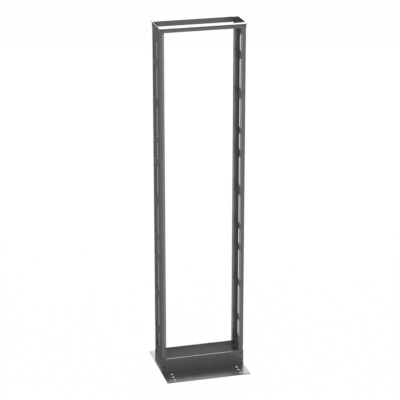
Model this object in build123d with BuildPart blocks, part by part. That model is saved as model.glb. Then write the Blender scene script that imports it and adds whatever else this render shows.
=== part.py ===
# A two post open frame rack: two formed channel posts, two top angles and two
# base angles, bolted face to face. Millimetres, +Z up, front to -Y, and the
# origin on the floor midway between the posts.
import os

from build123d import *

# Overall sizes
rack_height = 2133.6
rack_width = 514.35
base_depth = 462.0

# Channel posts
post_depth = 152.4
flange_width = 31.75
post_sheet = 2.7
bend_radius = 4.7

# Equipment holes: three to a rack unit, the same column in every flange, set in
# from the flange's free edge so that the columns stand 465.1 apart
rack_unit = 44.45
first_unit_level = 92.1
unit_hole_offsets = (6.35, 22.225, 38.1)
hole_edge_distance = 7.125
equipment_hole_diameter = 5.0

# Cable windows of each web: three bays, each from one short window to the next
# with two long windows between, parted by strips of web
window_margin = 31.75
window_corner = 12.0
short_window_height = 100.0
first_short_level = 194.0
last_short_drop = 145.6
low_bay_strips = (36.0, 36.0, 36.0)
high_bay_strips = (33.5, 57.0, 44.5)
bay_strips = (low_bay_strips, high_bay_strips, high_bay_strips)

# Rows of side holes in each web: one at the base, and one in the middle strip of
# each high bay at its rise over the window below
side_hole_diameter = 14.3
side_hole_pitch = 33.9
side_holes_in_row = 4
base_row_level = 101.6
row_rises = (33.5, 21.0)

# Top angles
top_leg_height = 31.75
top_leg_reach = 31.75
top_angle_thickness = 3.2
top_root_radius = 3.0

# Base angles
base_leg_height = 88.9
base_angle_thickness = 4.76
base_root_radius = 2.4
angle_toe_radius = 1.2

# Bolt holes that join the angles to the posts
bolt_hole_diameter = 11.0
bolt_hole_inset = 20.0
base_bolt_levels = (36.0, 74.0)
top_bolt_drop = 16.0

# Floor anchor holes and bonding holes of the base angles
anchor_hole_diameter = 17.5
anchor_hole_inset = 53.975
anchor_row_count = 3
first_row_reach = 45.5
last_row_margin = 32.3
bonding_hole_diameter = 7.0
bonding_hole_level = 27.5

half_width = rack_width / 2
half_post = post_depth / 2
flange_tip = half_width - flange_width
hole_column = flange_tip + hole_edge_distance
unit_count = int((rack_height - top_leg_height - first_unit_level) // rack_unit)
bolt_column = half_width - bolt_hole_inset
top_bolt_level = rack_height - top_bolt_drop
anchor_column = half_width - anchor_hole_inset
base_reach = (base_depth - post_depth) / 2
anchor_row_pitch = (base_reach - first_row_reach - last_row_margin) / (anchor_row_count - 1)
window_width = post_depth - 2 * window_margin
bay_pitch = (rack_height - first_short_level - last_short_drop) / len(bay_strips)
web_plane = Plane.YZ.offset(-half_width)


def bolt_points(side):
    """Places on the XZ plane of the joint bolts at one end, side -1 or 1."""
    levels = (*base_bolt_levels, top_bolt_level)
    return [(side * bolt_column, level) for level in levels]


def long_window_height(strips):
    """Height of the two long windows that share a bay with these strips."""
    return (bay_pitch - short_window_height - sum(strips)) / 2


def long_window_feet(bay):
    """Levels of the lower edges of a bay's two long windows."""
    under, between = bay_strips[bay][:2]
    lower = first_short_level + bay * bay_pitch + short_window_height / 2 + under
    upper = lower + long_window_height(bay_strips[bay]) + between
    return [lower, upper]


def side_row_levels():
    """Levels of the rows of side holes, from the base up."""
    levels = [base_row_level]
    for bay, rise in enumerate(row_rises, start=1):
        window_top = long_window_feet(bay)[0] + long_window_height(bay_strips[bay])
        levels.append(window_top + rise)
    return levels


def angle_section(leg_height, reach, thickness, root_radius, floor_level, up):
    """Section on YZ of a front angle: an upright leg against the posts and a flat
    leg that points forward. It stands on floor_level, or hangs from it if up is -1."""
    heel = -half_post
    face = heel - thickness
    flat_level = floor_level + up * thickness
    tip_level = floor_level + up * leg_height
    with BuildSketch(Plane.YZ) as section:
        with BuildLine():
            Polyline(
                (heel, floor_level),
                (heel, tip_level),
                (face, tip_level),
                (face, flat_level),
                (heel - reach, flat_level),
                (heel - reach, floor_level),
                close=True,
            )
        make_face()
        corners = section.vertices()
        root = corners.sort_by_distance((face, flat_level))[0]
        toes = [
            corners.sort_by_distance((face, tip_level))[0],
            corners.sort_by_distance((heel - reach, flat_level))[0],
        ]
        fillet(root, root_radius)
        fillet(toes, angle_toe_radius)
    return section.sketch


# Post, left hand: one sheet bent to a channel that opens to the middle
with BuildPart() as left_post:
    with BuildSketch():
        with BuildLine():
            FilletPolyline(
                (-flange_tip, -half_post),
                (-half_width, -half_post),
                (-half_width, half_post),
                (-flange_tip, half_post),
                radius=bend_radius,
            )
            offset(amount=post_sheet, side=Side.RIGHT)
        make_face()
    extrude(amount=rack_height)
    # Equipment holes, drilled through both flanges
    with BuildSketch(Plane.XZ):
        for unit in range(unit_count):
            unit_level = first_unit_level + unit * rack_unit
            levels = [unit_level + rise for rise in unit_hole_offsets]
            with Locations(*[(-hole_column, level) for level in levels]):
                Circle(equipment_hole_diameter / 2)
    extrude(amount=post_depth, both=True, mode=Mode.SUBTRACT)
    # Joint bolt holes, drilled through both flanges
    with BuildSketch(Plane.XZ):
        with Locations(*bolt_points(-1)):
            Circle(bolt_hole_diameter / 2)
    extrude(amount=post_depth, both=True, mode=Mode.SUBTRACT)
    # Cable windows and side holes, punched through the web
    with BuildSketch(web_plane):
        for bay in range(len(bay_strips) + 1):
            with Locations((0, first_short_level + bay * bay_pitch)):
                RectangleRounded(window_width, short_window_height, window_corner)
        for bay, strips in enumerate(bay_strips):
            height = long_window_height(strips)
            with Locations(*[(0, foot + height / 2) for foot in long_window_feet(bay)]):
                RectangleRounded(window_width, height, window_corner)
        for level in side_row_levels():
            with Locations((0, level)):
                with GridLocations(side_hole_pitch, 0, side_holes_in_row, 1):
                    Circle(side_hole_diameter / 2)
    extrude(amount=2 * post_sheet, both=True, mode=Mode.SUBTRACT)

# Post, right hand: the same channel mirrored
with BuildPart() as right_post:
    mirror(left_post.part, about=Plane.YZ)

# Base angle at the front
with BuildPart() as front_base_angle:
    base_section = angle_section(
        base_leg_height, base_reach, base_angle_thickness, base_root_radius, 0, 1
    )
    extrude(base_section, amount=half_width, both=True)
    # Joint bolt holes and bonding holes in the upright leg
    with BuildSketch(Plane.XZ):
        with Locations(*bolt_points(-1)[:2], *bolt_points(1)[:2]):
            Circle(bolt_hole_diameter / 2)
        with Locations((-anchor_column, bonding_hole_level), (anchor_column, bonding_hole_level)):
            Circle(bonding_hole_diameter / 2)
    extrude(amount=half_post + 2 * base_angle_thickness, mode=Mode.SUBTRACT)
    # Floor anchor holes in the flat leg
    with BuildSketch(Plane.XY):
        for row in range(anchor_row_count):
            row_y = -half_post - first_row_reach - row * anchor_row_pitch
            with Locations((-anchor_column, row_y), (anchor_column, row_y)):
                Circle(anchor_hole_diameter / 2)
    extrude(amount=2 * base_angle_thickness, both=True, mode=Mode.SUBTRACT)

# Base angle at the back
with BuildPart() as back_base_angle:
    mirror(front_base_angle.part, about=Plane.XZ)

# Top angle at the front
with BuildPart() as front_top_angle:
    top_section = angle_section(
        top_leg_height, top_leg_reach, top_angle_thickness, top_root_radius, rack_height, -1
    )
    extrude(top_section, amount=half_width, both=True)
    with BuildSketch(Plane.XZ):
        with Locations(bolt_points(-1)[2], bolt_points(1)[2]):
            Circle(bolt_hole_diameter / 2)
    extrude(amount=half_post + 2 * top_angle_thickness, mode=Mode.SUBTRACT)

# Top angle at the back
with BuildPart() as back_top_angle:
    mirror(front_top_angle.part, about=Plane.XZ)

pieces = {
    "left_post": left_post,
    "right_post": right_post,
    "front_base_angle": front_base_angle,
    "back_base_angle": back_base_angle,
    "front_top_angle": front_top_angle,
    "back_top_angle": back_top_angle,
}
os.makedirs("parts", exist_ok=True)
for name, piece in pieces.items():
    piece.part.label = name
    export_step(piece.part, f"parts/{name}.step")
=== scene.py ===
# %% [markdown]
# # A two post open frame rack
# This lesson dresses a rack that already exists as exact CAD solids: two channel posts,
# two top angles and two base angles. The solids are loaded as a fixed frame. They are
# never moved or reshaped here, only painted, and the joint hardware is added to them.
# Everything is in metres, with +Z up and the front of the rack towards -Y.

# %% Load the frame
import math

import bpy
from mathutils import Matrix, Vector


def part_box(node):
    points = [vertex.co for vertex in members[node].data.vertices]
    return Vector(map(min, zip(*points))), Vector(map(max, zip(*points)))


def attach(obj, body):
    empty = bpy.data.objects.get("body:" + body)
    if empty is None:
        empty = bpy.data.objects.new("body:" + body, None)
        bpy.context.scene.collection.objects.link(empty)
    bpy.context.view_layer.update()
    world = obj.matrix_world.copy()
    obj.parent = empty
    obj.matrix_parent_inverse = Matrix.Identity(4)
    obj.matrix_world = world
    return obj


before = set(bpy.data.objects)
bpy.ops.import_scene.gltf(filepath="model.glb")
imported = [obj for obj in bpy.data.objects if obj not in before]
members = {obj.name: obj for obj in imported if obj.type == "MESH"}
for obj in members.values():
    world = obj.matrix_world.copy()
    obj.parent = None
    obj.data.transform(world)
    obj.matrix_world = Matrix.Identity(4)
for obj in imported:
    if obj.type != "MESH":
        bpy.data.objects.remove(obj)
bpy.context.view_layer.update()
for name, member in sorted(members.items()):
    print(name, "vertices", len(member.data.vertices), "faces", len(member.data.polygons))

# %% [markdown]
# ## The camera
# The photograph looks down on the rack from the front left with a long lens, so the
# posts lean together only slightly towards the floor. The camera is set by what a
# photographer would say: how far round, how high, how far away, and which lens.

# %% Camera
AZIMUTH = math.radians(-15.0845)
ELEVATION = math.radians(19.853)
DISTANCE = 9.8631
AIM = Vector((0.00523, 0.0, 1.05739))
LENS_MM = 150.4
CLIP_END = 200.0


def direction(azimuth, elevation):
    """Unit vector from the rack, turned by azimuth from the front and raised."""
    return Vector((
        math.sin(azimuth) * math.cos(elevation),
        -math.cos(azimuth) * math.cos(elevation),
        math.sin(elevation),
    ))


def turn_towards(thing, place, target):
    """Puts a camera or lamp at place and turns its -Z axis to the target."""
    thing.location = place
    thing.rotation_euler = (target - place).to_track_quat("-Z", "Y").to_euler()
    bpy.context.scene.collection.objects.link(thing)


camera = bpy.data.objects.new("camera", bpy.data.cameras.new("camera"))
camera.data.lens = LENS_MM
camera.data.clip_end = CLIP_END
turn_towards(camera, AIM + direction(AZIMUTH, ELEVATION) * DISTANCE, AIM)
bpy.context.scene.camera = camera
print("camera at", [round(c, 3) for c in camera.location])

# %% [markdown]
# ## Writing shaders as sums
# A node tree is easier to read as arithmetic. The class below wraps one socket, so that
# `1 - mask * 0.5` adds the two Math nodes by itself, and `node` adds any other kind:
# its settings are set first, because some of them change which sockets there are.

# %% Shader arithmetic
class Coat:
    """One output socket of a material's node tree, usable in sums."""

    def __init__(self, tree, socket):
        self.tree = tree
        self.socket = socket

    def feed(self, socket, value):
        """Links a Coat to a socket, or sets a plain value on it."""
        if isinstance(value, Coat):
            self.tree.links.new(value.socket, socket)
        else:
            socket.default_value = value

    def node(self, kind, settings, sockets, output=0):
        """A new node from its settings and its sockets' values; gives one output."""
        made = self.tree.nodes.new(kind)
        for name, value in settings.items():
            setattr(made, name, value)
        for name, value in sockets.items():
            self.feed(made.inputs[name], value)
        return Coat(self.tree, made.outputs[output])

    def maths(self, operation, *terms):
        """One Math node on this operation's terms."""
        return self.node("ShaderNodeMath", {"operation": operation}, dict(enumerate(terms)))

    def __add__(self, other):
        return self.maths("ADD", self, other)

    __radd__ = __add__

    def __sub__(self, other):
        return self.maths("SUBTRACT", self, other)

    def __rsub__(self, other):
        return self.maths("SUBTRACT", other, self)

    def __mul__(self, other):
        return self.maths("MULTIPLY", self, other)

    __rmul__ = __mul__

    def below(self, limit):
        """1 where this is under the limit, else 0."""
        return self.maths("LESS_THAN", self, limit)

    def between(self, low, high):
        """A smooth step from 0 at low to 1 at high."""
        settings = {"interpolation_type": "SMOOTHSTEP"}
        return self.node("ShaderNodeMapRange", settings, {0: self, 1: low, 2: high})

    def tint(self, first, second):
        """A colour that goes from first to second as this goes from 0 to 1."""
        settings = {"data_type": "RGBA"}
        return self.node("ShaderNodeMix", settings, {0: self, 6: first, 7: second}, 2)


def new_finish(name):
    """An empty material: itself, its shader's inputs, and a Coat of the place."""
    material = bpy.data.materials.new(name)
    material.use_nodes = True
    tree = material.node_tree
    place = tree.nodes.new("ShaderNodeTexCoord").outputs["Object"]
    return material, tree.nodes["Principled BSDF"].inputs, Coat(tree, place)


print("shader arithmetic is ready")

# %% [markdown]
# ## Where the edges are
# Powder draws back from a sharp edge as it melts, so the coat is thin there and rubs
# through to a paler line. A Bevel node gives the normal of an edge as if it were
# rounded: where that normal leans away from the face's own normal, there is an edge.

# %% Edges
EDGE_RADIUS = 0.0003
EDGE_SAMPLES = 6
EDGE_LEAN = (0.02, 0.25)


def rounded_normal(place):
    """The face normal, blended over every edge as if it were rounded."""
    return place.node("ShaderNodeBevel", {"samples": EDGE_SAMPLES}, {"Radius": EDGE_RADIUS})


def edge_mask(place, rounded):
    """0 on flat faces, rising to 1 along sharp edges."""
    face_normal = place.node("ShaderNodeNewGeometry", {}, {}, "True Normal")
    lean = place.node(
        "ShaderNodeVectorMath", {"operation": "DOT_PRODUCT"}, {0: rounded, 1: face_normal}, "Value"
    )
    return (1 - lean).between(*EDGE_LEAN)


print("edges round over", EDGE_RADIUS * 1000, "mm")

# %% [markdown]
# ## Punched walls
# The holes and windows of the posts are punched through the sheet. Their walls get a near
# black metal colour and a rougher surface: painted shade, for the shade inside the holes.
# They could be picked face by face, but a mask works without picking: the normal of a
# wall lies in the plane of the sheet. Limits on the place keep the bends, the free edges,
# the cut tops and the upright sides of the windows out of it.

# %% Punched walls
WEB_HALF_WIDTH = 0.070
WINDOW_SIDE = 0.04445
WINDOW_SLACK = 0.0005
FLANGE_INNER = 0.2265
FLANGE_OUTER = 0.2505
POST_TOP = 2.133
FACES_AWAY = 0.5


def size_parts(vector):
    """The sizes of a vector's three parts, without their signs."""
    sizes = vector.node("ShaderNodeVectorMath", {"operation": "ABSOLUTE"}, {0: vector})
    return [vector.node("ShaderNodeSeparateXYZ", {}, {"Vector": sizes}, axis) for axis in "XYZ"]


def punched_walls(place):
    """1 on the walls of a post's holes and windows, 0 on its faces."""
    across, along, up = size_parts(place)
    normal = place.node("ShaderNodeNewGeometry", {}, {}, "True Normal")
    normal_across, normal_along, _ = size_parts(normal)
    window_side = along.maths("COMPARE", along, WINDOW_SIDE, WINDOW_SLACK)
    in_web = normal_across.below(FACES_AWAY) * along.below(WEB_HALF_WIDTH) * (1 - window_side)
    on_flange = across.below(FLANGE_OUTER) - across.below(FLANGE_INNER)
    in_flange = normal_along.below(FACES_AWAY) * on_flange
    return (in_web + in_flange) * up.below(POST_TOP)


# the painted shade on the walls stops below the post tops
print("bare walls up to", POST_TOP, "m")

# %% [markdown]
# ## Rolled corners
# The angles are rolled bars with a rounded root between their legs and rounded toes. The
# root and the toes get a rougher coat, so neither shines as the legs do, and a darker grey,
# which is painted shade. On a corner the normal points neither straight out nor straight
# up, and that is all the mask has to ask.

# %% Rolled corners
NEARLY_STRAIGHT = 0.985
NEARLY_LEVEL = 0.15


def rolled_corners(place):
    """1 where an angle's surface turns between upright and flat, 0 on its legs."""
    normal = place.node("ShaderNodeNewGeometry", {}, {}, "True Normal")
    _, normal_along, normal_up = size_parts(normal)
    tilted = normal_up.below(NEARLY_STRAIGHT) - normal_up.below(NEARLY_LEVEL)
    return tilted * normal_along.below(NEARLY_STRAIGHT)


print("corners lean over", round(math.degrees(math.asin(NEARLY_LEVEL)), 1), "degrees")

# %% [markdown]
# ## Noise and relief
# Two helpers serve every finish below. Noise that follows the place breaks up a colour or
# a sheen. The same noise as the height of a Bump node tilts the normal, as a fine relief
# on the surface would.

# %% Noise and relief
RELIEF_DEPTH = 0.0002


def noise(place, scale, detail):
    """Noise that varies with the place, finer as the scale goes up."""
    sockets = {"Vector": place, "Scale": scale, "Detail": detail}
    return place.node("ShaderNodeTexNoise", {}, sockets)


def relief(place, height, strength, normal):
    """The normal, tilted by a fine relief of this height."""
    sockets = {"Strength": strength, "Distance": RELIEF_DEPTH, "Height": height, "Normal": normal}
    return place.node("ShaderNodeBump", {}, sockets)


print("relief up to", RELIEF_DEPTH * 1000, "mm deep")

# %% [markdown]
# ## Satin powder coat
# The whole rack is steel under a dark grey powder coat. Powder melts into a skin with a
# fine orange peel, a satin sheen and faint cloudiness, so colour, roughness and relief
# follow noise at two scales: clouds as wide as a hand, and a peel of a millimetre or two.
# Posts and angles share it, and differ only in where a mask paints shade and adds roughness.

# %% Powder coat
COAT_GREY = (0.0530, 0.0485, 0.0530, 1.0)
COAT_CLOUD = (0.0580, 0.0535, 0.0580, 1.0)
COAT_EDGE = (0.105, 0.099, 0.103, 1.0)
COAT_SPECULAR = 1.0
# painted shade: near black metal for the walls of the holes and windows
WALL_PAINTED_SHADE = (0.016, 0.015, 0.016, 1.0)
# painted shade: a darker grey in the angles' roots and on their toes
CORNER_PAINTED_SHADE = (0.040, 0.037, 0.040, 1.0)
CLOUD_SCALE = 11.0
CLOUD_SPREAD = (0.3, 0.7)
PEEL_SCALE = 650.0
PEEL_STRENGTH = 0.12
WEAR_SPREAD = (0.35, 0.75)
WEAR_SHARE = 0.7
COAT_ROUGHNESS = 0.27
CLOUD_ROUGHNESS = 0.07
PEEL_ROUGHNESS = 0.05
MASKED_ROUGHNESS = 0.45


def powder_coat(name, painted_shade_places, painted_shade_colour, painted_shade_metal):
    """The coat, with painted shade and more roughness where a mask is."""
    material, shader, place = new_finish(name)
    cloud = noise(place, CLOUD_SCALE, detail=4.0)
    peel = noise(place, PEEL_SCALE, detail=2.0)
    rounded = rounded_normal(place)
    painted_shade_mask = painted_shade_places(place)
    worn = edge_mask(place, rounded) * cloud.between(*WEAR_SPREAD) * WEAR_SHARE
    clouded = cloud.between(*CLOUD_SPREAD).tint(COAT_GREY, COAT_CLOUD)
    # where the mask is, the colour turns to painted shade
    place.feed(shader["Base Color"], painted_shade_mask.tint(worn.tint(clouded, COAT_EDGE), painted_shade_colour))
    satin = COAT_ROUGHNESS + CLOUD_ROUGHNESS * cloud + PEEL_ROUGHNESS * peel
    place.feed(shader["Roughness"], satin + MASKED_ROUGHNESS * painted_shade_mask)
    if painted_shade_metal:
        # the post walls' painted shade is a near black metal
        place.feed(shader["Metallic"], painted_shade_mask)
    shader["Specular IOR Level"].default_value = COAT_SPECULAR
    place.feed(shader["Normal"], relief(place, peel, PEEL_STRENGTH, rounded))
    return material


# the posts get painted shade on the walls of their holes and windows
post_coat = powder_coat("post_powder_coat", punched_walls, WALL_PAINTED_SHADE, painted_shade_metal=True)
# the angles get painted shade in their roots and on their toes
angle_coat = powder_coat("angle_powder_coat", rolled_corners, CORNER_PAINTED_SHADE, painted_shade_metal=False)
for name, member in members.items():
    member.data.materials.clear()
    member.data.materials.append(post_coat if "post" in name else angle_coat)
print("coated", len(members), "members")

# %% [markdown]
# ## Round and six sided hardware
# Heads, washers and screw ends are all stacks of rings around an axis. A round ring has
# one radius, and a six sided one has a radius that swells towards its six corners. Both
# can be joined ring by ring with quads, so one small function makes every fastener.

# %% Rings
RING_STEPS = 48
HEAD_CHAMFER = math.radians(30)
SHARP_ANGLE = math.radians(28)


def round_ring(radius, level):
    """A ring of one radius, as (radius, level) for each step around the axis."""
    return [(radius, level)] * RING_STEPS


def hex_ring(across_flats, level, crown=None):
    """A six sided ring. With a crown radius, its corners are chamfered past it."""
    ring = []
    for step in range(RING_STEPS):
        turn = 2 * math.pi * step / RING_STEPS
        from_flat = (turn + math.pi / 6) % (math.pi / 3) - math.pi / 6
        radius = across_flats / 2 / math.cos(from_flat)
        drop = 0 if crown is None else max(0, radius - crown) * math.tan(HEAD_CHAMFER)
        ring.append((radius, level - drop))
    return ring


class Turned:
    """Vertices and faces of several fasteners, gathered for one mesh."""

    def __init__(self):
        self.vertices = []
        self.faces = []

    def add(self, rings, matrix, closed=False):
        """Skins a stack of rings; the ends are capped unless it closes on itself."""
        start = len(self.vertices)
        for ring in rings:
            for step, (radius, level) in enumerate(ring):
                turn = 2 * math.pi * step / RING_STEPS
                point = Vector((radius * math.cos(turn), radius * math.sin(turn), level))
                self.vertices.append(matrix @ point)
        count = len(rings)
        for lower in range(count if closed else count - 1):
            upper = (lower + 1) % count
            for step in range(RING_STEPS):
                after = (step + 1) % RING_STEPS
                quad = (lower, step), (lower, after), (upper, after), (upper, step)
                self.faces.append([start + row * RING_STEPS + k for row, k in quad])
        if not closed:
            last = start + (count - 1) * RING_STEPS
            self.faces.append([start + k for k in reversed(range(RING_STEPS))])
            self.faces.append([last + k for k in range(RING_STEPS)])

    def piece(self, name, finish):
        """The gathered fasteners as one object that rides with the rack."""
        mesh = bpy.data.meshes.new(name)
        mesh.from_pydata(self.vertices, [], self.faces)
        mesh.polygons.foreach_set("use_smooth", [True] * len(mesh.polygons))
        mesh.set_sharp_from_angle(angle=SHARP_ANGLE)
        mesh.materials.append(finish)
        made = bpy.data.objects.new(name, mesh)
        bpy.context.scene.collection.objects.link(made)
        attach(made, "root")
        print(name, len(mesh.polygons), "faces")
        return made


print("rings of", RING_STEPS, "steps")

# %% [markdown]
# ## Blackened steel
# The bolts are plain steel with a black finish, which is thin and takes no polish. A
# wrench rubs it off the corners of the head first, so the edge mask from above, broken up
# by a fine grain, lets bare metal through there.

# %% Blackened steel
BLACK_STEEL = (0.026, 0.025, 0.027, 1.0)
RUBBED_STEEL = (0.16, 0.155, 0.155, 1.0)
GRAIN_SCALE = 420.0
GRAIN_SPREAD = (0.42, 0.7)
GRAIN_STRENGTH = 0.15
GRAIN_ROUGHNESS = 0.2
BLACK_ROUGHNESS = 0.36
BARE_SHARE = 0.8


def blackened_steel(name):
    """Steel with a black finish, rubbed through along its edges."""
    material, shader, place = new_finish(name)
    grain = noise(place, GRAIN_SCALE, detail=5.0)
    rounded = rounded_normal(place)
    rubbed = edge_mask(place, rounded) * grain.between(*GRAIN_SPREAD)
    place.feed(shader["Base Color"], rubbed.tint(BLACK_STEEL, RUBBED_STEEL))
    place.feed(shader["Metallic"], rubbed * BARE_SHARE)
    place.feed(shader["Roughness"], BLACK_ROUGHNESS + GRAIN_ROUGHNESS * grain)
    place.feed(shader["Normal"], relief(place, grain, GRAIN_STRENGTH, rounded))
    return material


bolt_finish = blackened_steel("blackened_steel")
print("bolts are", bolt_finish.name)

# %% [markdown]
# ## Bolts
# The angles are held by bolts put in from inside the posts. Each has a six sided head on
# a washer against the flange, and its threaded end stops just inside the angle's outer
# face, so from outside a bolt shows as a dark spot. The thread is a stack of rings that
# are wide and narrow in turn, which at this size looks the same as a helix.

# %% Bolts
POST_SHEET = 0.0027
BASE_LEG = 0.00476
TOP_LEG = 0.0032
BOLT_INSET = 0.020
BASE_BOLT_LEVELS = (0.036, 0.074)
TOP_BOLT_DROP = 0.016
HEAD_FLATS = 0.0160
HEAD_HEIGHT = 0.0064
HEAD_CROWN = HEAD_FLATS * 0.475
HEAD_DISH = HEAD_CROWN * 0.8
DISH_DEPTH = 0.0002
WASHER_RADIUS = 0.0098
WASHER_THICKNESS = 0.0018
WASHER_RIM = WASHER_THICKNESS * 0.2
SHANK_RADIUS = 0.0053
THREAD_PITCH = 0.0015
THREAD_DEPTH = 0.0006
END_RECESS = 0.0007

_, post_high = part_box("right_post")
bolt_column = post_high.x - BOLT_INSET
top_bolt_level = post_high.z - TOP_BOLT_DROP


def add_bolt(turned, matrix, grip):
    """One bolt whose local +Z points outward from the flange's inner face."""
    washer = [
        round_ring(SHANK_RADIUS, 0),
        round_ring(SHANK_RADIUS, -WASHER_THICKNESS),
        round_ring(WASHER_RADIUS - WASHER_RIM, -WASHER_THICKNESS),
        round_ring(WASHER_RADIUS, WASHER_RIM - WASHER_THICKNESS),
        round_ring(WASHER_RADIUS, 0),
    ]
    turned.add(washer, matrix, closed=True)
    head_top = WASHER_THICKNESS + HEAD_HEIGHT
    head = [
        hex_ring(HEAD_FLATS, WASHER_THICKNESS),
        hex_ring(HEAD_FLATS, head_top, HEAD_CROWN),
        round_ring(HEAD_CROWN, head_top),
        round_ring(HEAD_DISH, head_top - DISH_DEPTH),
    ]
    turned.add(head, matrix @ Matrix.Rotation(math.pi, 4, "X"))
    end = grip - END_RECESS
    shank = [round_ring(SHANK_RADIUS, -WASHER_THICKNESS)]
    for turn in range(int(end / THREAD_PITCH)):
        shank.append(round_ring(SHANK_RADIUS, turn * THREAD_PITCH))
        shank.append(round_ring(SHANK_RADIUS - THREAD_DEPTH, (turn + 0.5) * THREAD_PITCH))
    shank.append(round_ring(SHANK_RADIUS, end - 2 * THREAD_DEPTH))
    shank.append(round_ring(SHANK_RADIUS - 2 * THREAD_DEPTH, end))
    turned.add(shank, matrix)


def outward(side):
    """Turns local +Z to the front, side -1, or to the back, side 1."""
    return Matrix.Rotation(math.radians(-90 * side), 4, "X")


def bolt_row(name, side, levels, leg):
    """The bolts that hold one angle: at each level, one in either post."""
    turned = Turned()
    for level in levels:
        for column in (-bolt_column, bolt_column):
            place = Vector((column, side * (post_high.y - POST_SHEET), level))
            add_bolt(turned, Matrix.Translation(place) @ outward(side), POST_SHEET + leg)
    turned.piece(name, bolt_finish)


bolt_row("front_base_bolts", -1, BASE_BOLT_LEVELS, BASE_LEG)
bolt_row("back_base_bolts", 1, BASE_BOLT_LEVELS, BASE_LEG)
bolt_row("front_top_bolts", -1, (top_bolt_level,), TOP_LEG)
bolt_row("back_top_bolts", 1, (top_bolt_level,), TOP_LEG)

# %% [markdown]
# ## Bonding screws
# Two small button head screws sit low on each base angle, where a bonding wire would be
# clamped. They are coated with the angle, so only their round heads catch the light. The
# head is a low dome with a six sided socket, built from the same rings.

# %% Bonding screws
BONDING_COLUMN = 0.2032
BONDING_LEVEL = 0.0275
BUTTON_RADIUS = 0.0058
BUTTON_HEIGHT = 0.0028
DOME_LIFT = math.radians(62)
DOME_STEPS = 5
SCREW_RADIUS = BUTTON_RADIUS * 0.5
SOCKET_FLATS = 0.0040
SOCKET_DEPTH = 0.0018


def add_button_screw(turned, matrix):
    """One button head screw whose local +Z points away from the leg's outer face."""
    rings = [round_ring(SCREW_RADIUS, -BASE_LEG), round_ring(SCREW_RADIUS, 0)]
    rings.append(round_ring(BUTTON_RADIUS, 0))
    for step in range(1, DOME_STEPS + 1):
        lift = step / DOME_STEPS * DOME_LIFT
        height = BUTTON_HEIGHT * math.sin(lift) / math.sin(DOME_LIFT)
        rings.append(round_ring(BUTTON_RADIUS * math.cos(lift), height))
    rings.append(hex_ring(SOCKET_FLATS, BUTTON_HEIGHT))
    rings.append(hex_ring(SOCKET_FLATS, BUTTON_HEIGHT - SOCKET_DEPTH))
    turned.add(rings, matrix)


def bonding_pair(name, side):
    """The two bonding screws of one base angle."""
    turned = Turned()
    for column in (-BONDING_COLUMN, BONDING_COLUMN):
        place = Vector((column, side * (post_high.y + BASE_LEG), BONDING_LEVEL))
        add_button_screw(turned, Matrix.Translation(place) @ outward(side))
    turned.piece(name, angle_coat)


bonding_pair("front_bonding_screws", -1)
bonding_pair("back_bonding_screws", 1)

# %% [markdown]
# ## The studio floor
# The rack stands on a white floor that fades into a white background. The floor is plain
# white for the light that it throws back. For the camera a share of pure white is mixed
# in, which leaves only a faint soft shadow, and gloss sees it as pure white.

# %% Floor
FLOOR_SIZE = 60.0
FLOOR_WHITE = (0.95, 0.95, 0.95, 1.0)
PURE_WHITE = (1.0, 1.0, 1.0, 1.0)
CAMERA_GLOW = 0.98
FLOOR_ROUGHNESS = 0.9
FLOOR_DROP = 0.0002


def stage_panel(name, size, finish):
    """A flat rectangle that isn't part of the rack."""
    wide, high = size[0] / 2, size[1] / 2
    mesh = bpy.data.meshes.new(name)
    corners = [(-wide, -high, 0), (wide, -high, 0), (wide, high, 0), (-wide, high, 0)]
    mesh.from_pydata(corners, [], [(0, 1, 2, 3)])
    mesh.materials.append(finish)
    panel = bpy.data.objects.new(name, mesh)
    bpy.context.scene.collection.objects.link(panel)
    return panel


def seen_white(place, camera_share):
    """How far a ray sees pure white: in part from the camera, and wholly in gloss."""
    camera_ray = place.node("ShaderNodeLightPath", {}, {}, "Is Camera Ray")
    glossy_ray = place.node("ShaderNodeLightPath", {}, {}, "Is Glossy Ray")
    clear_ray = place.node("ShaderNodeLightPath", {}, {}, "Is Transmission Ray")
    return camera_ray * camera_share + glossy_ray + clear_ray


floor_finish, floor_shader, floor_place = new_finish("floor_white")
floor_shader["Base Color"].default_value = FLOOR_WHITE
floor_shader["Roughness"].default_value = FLOOR_ROUGHNESS
floor_shader["Specular IOR Level"].default_value = 0.0
floor_tree = floor_place.tree
glow = floor_place.node("ShaderNodeEmission", {}, {"Color": PURE_WHITE, "Strength": 1.0})
plain = Coat(floor_tree, floor_tree.nodes["Principled BSDF"].outputs[0])
share = seen_white(floor_place, CAMERA_GLOW)
lit = floor_place.node("ShaderNodeMixShader", {}, {0: share, 1: plain, 2: glow})
floor_place.feed(floor_tree.nodes["Material Output"].inputs["Surface"], lit)
floor = stage_panel("floor", (FLOOR_SIZE, FLOOR_SIZE), floor_finish)
floor.location.z = -FLOOR_DROP
print("floor", FLOOR_SIZE, "m wide")

# %% [markdown]
# ## The room
# The walls of the room give even light from all round. That light barely reaches into
# the channels and between the base angles, so the room is kept low, and lamps do the
# rest. To the camera and in gloss its walls are the same plain white as the floor.

# %% Room
ROOM_LEVEL = (0.42, 0.42, 0.42, 1.0)

room = bpy.data.worlds.new("white_room")
room.use_nodes = True
walls = Coat(room.node_tree, room.node_tree.nodes["Background"].outputs[0])
room.node_tree.nodes["Background"].inputs["Color"].default_value = ROOM_LEVEL
backdrop = walls.node("ShaderNodeBackground", {}, {"Color": PURE_WHITE, "Strength": 1.0})
seen = walls.node("ShaderNodeMixShader", {}, {0: seen_white(walls, 1.0), 1: walls, 2: backdrop})
walls.feed(room.node_tree.nodes["World Output"].inputs["Surface"], seen)
bpy.context.scene.world = room
print("room level", ROOM_LEVEL[0])

# %% [markdown]
# ## Softboxes
# A softbox in front, about as high as the camera, lights the faces that look forward,
# also deep inside the frame. A second one behind the rack makes the bright sheen on
# everything that faces up: the feet, the lips and the cut ends of the posts. Large lamps
# keep it soft.

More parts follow.
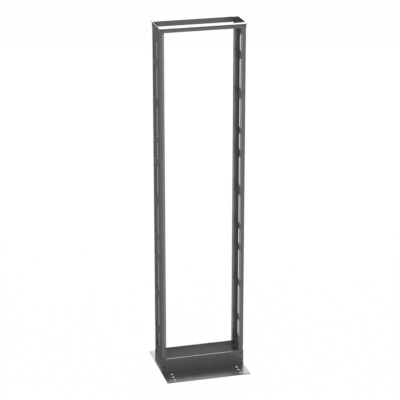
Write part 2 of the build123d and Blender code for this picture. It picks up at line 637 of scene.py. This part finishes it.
# %% Softboxes
FRONT_SOFTBOX = {"size": (6.0, 4.0), "level": 5.5, "place": Vector((-2.2, -7.0, 4.6))}
BACK_SOFTBOX = {"size": (7.0, 5.0), "level": 3.8, "place": Vector((1.7, 6.5, 3.4))}


def softbox(name, size, level, place):
    """A rectangular lamp of a size in metres, as bright as a white wall times level."""
    lamp = bpy.data.objects.new(name, bpy.data.lights.new(name, "AREA"))
    lamp.data.shape = "RECTANGLE"
    lamp.data.size, lamp.data.size_y = size
    lamp.data.energy = level * math.pi * size[0] * size[1]
    lamp.visible_camera = False
    turn_towards(lamp, place, AIM)
    print(name, round(lamp.data.energy), "W")


softbox("front_softbox", **FRONT_SOFTBOX)
softbox("back_softbox", **BACK_SOFTBOX)

# %% [markdown]
# ## A glowing grey card
# Seen along its face, the left post would mirror the white floor and look pale. Beside it
# stands a panel like a photographer's grey card, but it glows by itself though it is no
# lamp, so the gloss shows a painted grey reflection and the side stays as dark as the
# front. It is seen in gloss alone and blocks no light. Its glow is dimmer towards the
# floor, which paints shade into the reflection low on the post's side.

# %% Grey card
CARD_SIZE = (6.0, 8.0)
CARD_PLACE = Vector((-0.266, 3.0, 3.0))
# the card's glow, dimmer at the foot: a painted reflection on the left post's side
CARD_FOOT_GLOW = (0.19, 0.19, 0.19, 1.0)
CARD_HEAD_GLOW = (0.325, 0.325, 0.325, 1.0)
CARD_FADE = 0.7
BLACK = (0.0, 0.0, 0.0, 1.0)

card_finish, card_shader, card_place = new_finish("glowing_grey_card")
spot = card_place.node("ShaderNodeNewGeometry", {}, {}, "Position")
rise = card_place.node("ShaderNodeSeparateXYZ", {}, {"Vector": spot}, "Z")
shade = rise.between(0.0, CARD_FADE).tint(CARD_FOOT_GLOW, CARD_HEAD_GLOW)
# the card glows by itself, though it is no lamp
card_place.feed(card_shader["Emission Color"], shade)
card_shader["Emission Strength"].default_value = 1.0
card_shader["Base Color"].default_value = BLACK
card_shader["Specular IOR Level"].default_value = 0.0
card = stage_panel("glowing_grey_card", CARD_SIZE, card_finish)
card.location = CARD_PLACE
card.rotation_euler.y = math.radians(90)
card.visible_camera = False
card.visible_diffuse = False
card.visible_shadow = False
card.visible_transmission = False
print("card beside the left post at x", CARD_PLACE.x)

# %% [markdown]
# ## Plain colours
# The Standard view shows a colour as it is written, without the film look of the default.

# %% View
bpy.context.scene.view_settings.view_transform = "Standard"
print("view", bpy.context.scene.view_settings.view_transform)
